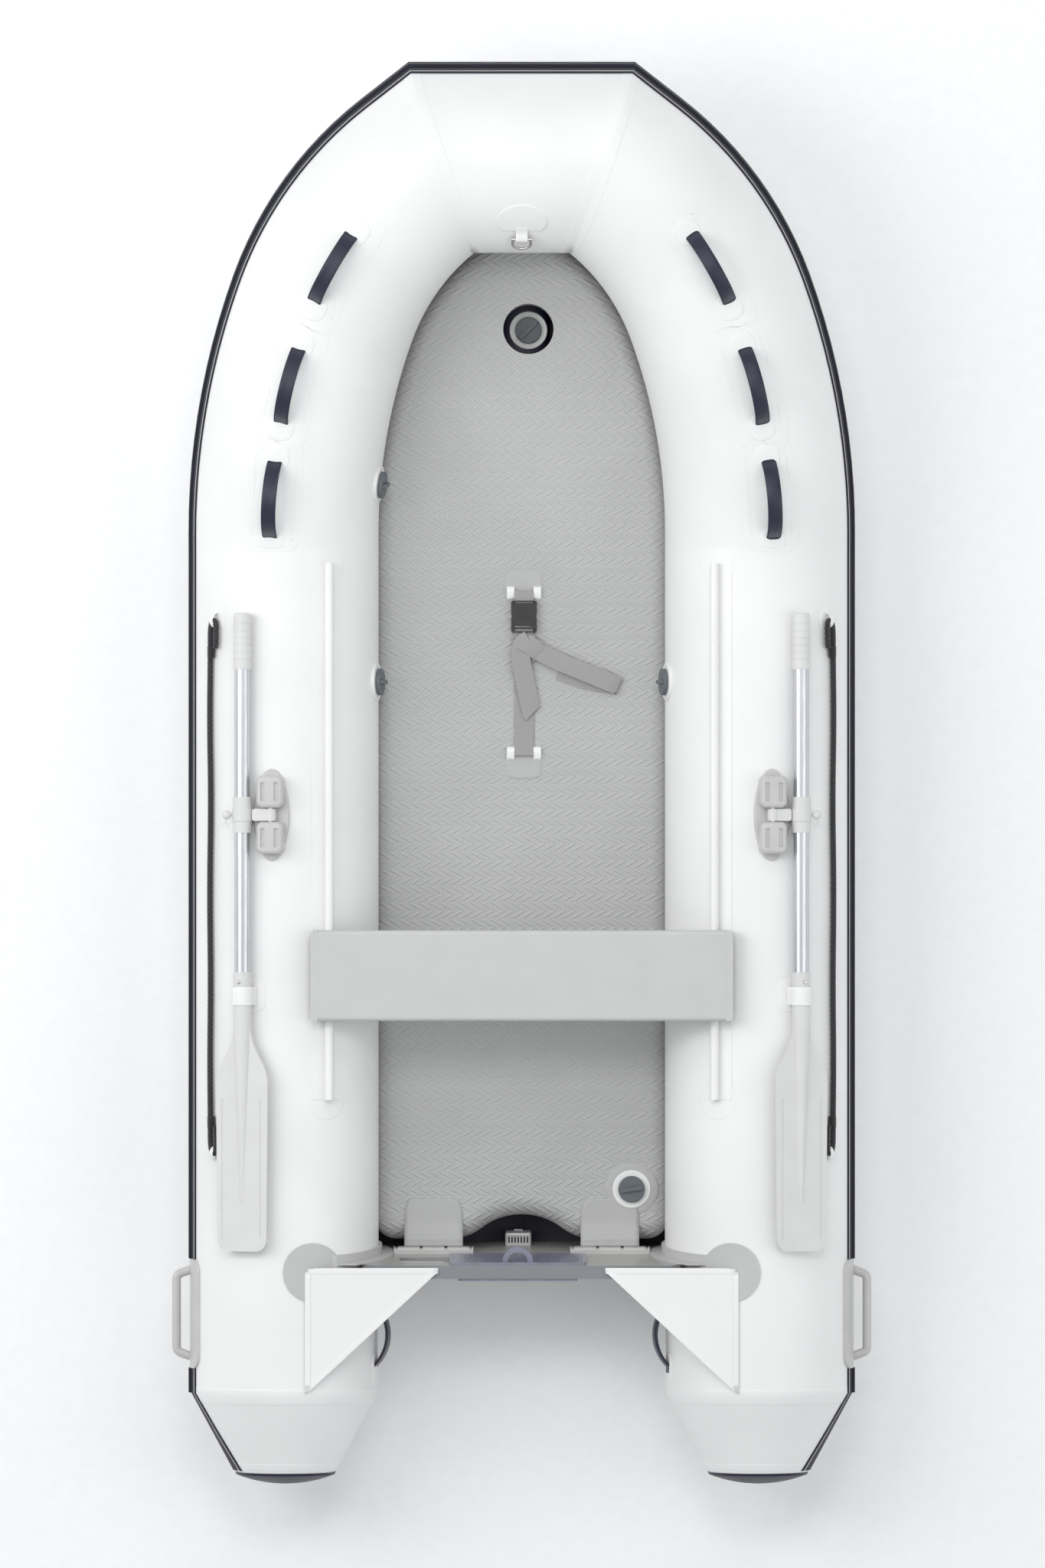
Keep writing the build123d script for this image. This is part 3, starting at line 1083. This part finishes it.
def buckle_female():
    length = BUCKLE_FRONT_Y - BUCKLE_SPLIT_Y
    body = Box(BUCKLE_WIDTH, length, BUCKLE_THICKNESS)
    body = fillet(body.edges().filter_by(Axis.Z), 5)
    body = body - Pos(0, -6, 0) * Box(BUCKLE_WIDTH - 8, length, BUCKLE_THICKNESS - 5)
    body = body - Pos(0, length / 2 - 5, 0) * Box(WEBBING_WIDTH + 2, 4, 30)
    y = (BUCKLE_FRONT_Y + BUCKLE_SPLIT_Y) / 2
    return Pos(STRAP_X, y, STRAP_Z + BUCKLE_THICKNESS / 2 + 0.6) * body


def buckle_male():
    length = BUCKLE_SPLIT_Y - BUCKLE_REAR_Y
    body = Box(BUCKLE_WIDTH, length - 0.4, BUCKLE_THICKNESS)
    body = fillet(body.edges().filter_by(Axis.Z), 5)
    for slot_y in (-4, -13):
        body = body - Pos(0, slot_y, 0) * Box(WEBBING_WIDTH + 2, 5, 30)
    for side in (-1, 0, 1):
        prong = Box(7, 26, BUCKLE_THICKNESS - 6.4, align=(Align.CENTER, Align.MIN, Align.CENTER))
        body = body + Pos(side * 20, length / 2 - 2, 0) * prong
    y = (BUCKLE_REAR_Y + BUCKLE_SPLIT_Y) / 2
    return Pos(STRAP_X, y, STRAP_Z + BUCKLE_THICKNESS / 2 + 0.6) * body


def cargo_strap():
    """Webbing from the rear anchor to the buckle, with its knot and its two free ends."""
    z = STRAP_Z + 0.3
    flat = (Align.CENTER, Align.CENTER, Align.MIN)
    run_from = ANCHOR_REAR_Y + 16
    run_to = BUCKLE_REAR_Y - 1
    run = Box(WEBBING_WIDTH, run_to - run_from, WEBBING, align=flat)
    run = Pos(STRAP_X, (run_from + run_to) / 2, z) * run
    knot = fillet(Box(*KNOT_SIZE, align=flat).edges(), 7)
    knot = Pos(STRAP_X + 6, KNOT_Y, z) * knot
    tail = Box(WEBBING_WIDTH, TAIL_LENGTH, WEBBING, align=flat)
    tail = Pos(STRAP_X + 24, KNOT_Y - 84, z + WEBBING) * Rot(0, 0, TAIL_ANGLE) * tail
    loop = Box(LOOP_LENGTH, WEBBING_WIDTH - 5, LOOP_HEIGHT, align=flat)
    loop = Pos(STRAP_X + 112, KNOT_Y - 38, z) * Rot(0, 0, -LOOP_ANGLE) * loop
    return run + knot + tail + loop


# ---------------------------------------------------------------- bow ring
RING_REACH = TUBE_RADIUS + 8.0


def bow_frame(angle, reach):
    """Frame on the bow tube's inner side: x to starboard, y up along the skin, z outward."""
    y = BOW_CENTRE_Y - reach * cos(radians(angle))
    z = bow_height() + reach * sin(radians(angle))
    return Pos(0, y, z) * Rot(90 - angle, 0, 0)


def bow_height():
    return QUARTER_Z + mitre_point()[1] * sin(radians(BOW_TILT))


def bow_ring():
    wire = Circle(RING_WIRE)
    w = RING_HALF_WIDTH
    route = FilletPolyline((-w, 0, 0), (-w, -RING_DROP, 0), (w, -RING_DROP, 0), (w, 0, 0), radius=w * 0.9)
    bow = sweep(Plane(origin=route @ 0, z_dir=route % 0) * wire, path=route)
    bar = Rot(0, 90, 0) * Cylinder(RING_WIRE, 2 * w + 2 * RING_WIRE)
    return bow_frame(RING_ANGLE, RING_REACH) * (bow + bar)


def bow_ring_tab():
    patch_skin = FRONT_SKIN & (bow_frame(RING_ANGLE + 14, TUBE_RADIUS) * Cylinder(46, 60))
    sleeve = Rot(0, 90, 0) * Cylinder(RING_WIRE + 2.2, RING_TAB_WIDTH)
    sleeve = sleeve + Pos(0, 22, -8.3) * Box(RING_TAB_WIDTH, 44, 11.4)
    sleeve = sleeve - Rot(0, 90, 0) * Cylinder(RING_WIRE + FIT, 100)
    tab = bow_frame(RING_ANGLE, RING_REACH) * sleeve
    return patch_skin + (tab - FRONT_CORE)


# ---------------------------------------------------------------- build
QUARTER_CORE = quarter_section(Circle(TUBE_RADIUS + SKIN_GAP))
PAD_SECTION = ring_profile(TUBE_RADIUS + SKIN_GAP, TUBE_RADIUS + STRAP_PAD)
QUARTER_SKIN = quarter_section(PAD_SECTION) + elbow_section(PAD_SECTION)
FRONT_CORE = front_section(Circle(TUBE_RADIUS + SKIN_GAP))
FRONT_SKIN = front_section(PAD_SECTION)


def build():
    os.makedirs("parts", exist_ok=True)
    save("tube_bow", front_section(ring_profile(TUBE_RADIUS - TUBE_WALL, TUBE_RADIUS)))
    save("rub_strake", rub_strake())
    save("cone_end_caps", both_sides(cone_end_cap()))
    save("chamber_bulkheads", both_sides(bulkhead()))
    save("air_floor", air_floor())
    save("keel_tube", keel_tube())
    save("bottom_skin", bottom_skin())
    save("transom_board", transom_board())
    save("transom_profiles", both_sides(transom_profile()))
    save("motor_pad_inner", motor_pad(True))
    save("motor_pad_outer", motor_pad(False))
    save("floor_clamps", [floor_clamp(CLAMP_X), floor_clamp(-CLAMP_X)])
    save("clamp_screws", clamp_screws(CLAMP_X) + clamp_screws(-CLAMP_X))
    save("floor_flaps", [floor_flap(CLAMP_X), floor_flap(-CLAMP_X)])
    save("drain_valve_body", drain_valve_body())
    save("drain_valve_cover", drain_valve_cover())
    save("splash_guards", both_sides(splash_guard()))
    save("seat_rails", both_sides(seat_rail()))
    save("bench_seat", bench_seat())
    save("bench_brackets", both_sides(bench_bracket()))
    straps = [grab_strap(y) for y in GRAB_STATIONS] + [stern_loop()]
    pads = []
    for y in GRAB_STATIONS:
        pads += pads_for(y, STRAP_LEAN, STRAP_LENGTH / 2 + 8)
    pads += pads_for(STERN_LOOP_Y, -STERN_LOOP_ANGLE, STERN_LOOP_LENGTH / 2 + 8)
    save("grab_straps", [piece for strap in straps for piece in both_sides(strap)])
    save("strap_pads", [piece for pad in pads for piece in both_sides(pad)])
    save("carry_handles", both_sides(carry_handle()))
    save("bow_ring", bow_ring())
    save("bow_ring_tab", bow_ring_tab())
    save("oarlock_bases", both_sides(oarlock_base()))
    save("oarlock_axles", both_sides(oarlock_axle()))
    save("rope_anchors", [p for y, out in ((ROPE_FRONT_Y, 1), (ROPE_AFT_Y, -1))
                          for p in both_sides(rope_anchor(y, out))])
    save("strap_anchors", [strap_anchor(ANCHOR_FRONT_Y), strap_anchor(ANCHOR_REAR_Y)])
    save("buckle_female", buckle_female())
    save("buckle_male", buckle_male())
    save("cargo_strap", cargo_strap())
    bodies = [placed(side, tube_valve_body(y)) for side, y in TUBE_VALVES.values()]
    bodies.append(Pos(*KEEL_VALVE, FLOOR_BOTTOM) * valve_body())
    bodies.append(Pos(*FLOOR_VALVE, FLOOR_TOP) * valve_body())
    save("valve_bodies", bodies)
    for name, (side, y) in TUBE_VALVES.items():
        save("valve_cap_" + name, placed(side, tube_valve_frame(y) * valve_cap(0)))
    save("valve_cap_keel", Pos(*KEEL_VALVE, FLOOR_BOTTOM) * valve_cap(45))
    save("valve_cap_floor", Pos(*FLOOR_VALVE, FLOOR_TOP) * valve_cap(8))
    for name, side in (("port", -1), ("starboard", 1)):
        save("tube_side_" + name, side_tube(side))
        save("tube_quarter_" + name, quarter_tube(side))
        save("oarlock_swivel_" + name, placed(side, oarlock_swivel()))
        save("oar_collar_" + name, placed(side, oar_collar()))
        save("oar_shaft_" + name, placed(side, oar_shaft()))
        save("oar_grip_" + name, placed(side, oar_grip()))
        save("oar_blade_" + name, placed(side, oar_blade()))
        save("blade_button_" + name, placed(side, blade_button()))
        save("pin_knob_" + name, placed(side, pin_knob()))
        save("oar_keeper_" + name, placed(side, oar_keeper()))
        save("rope_" + name, placed(side, rope()))


build()
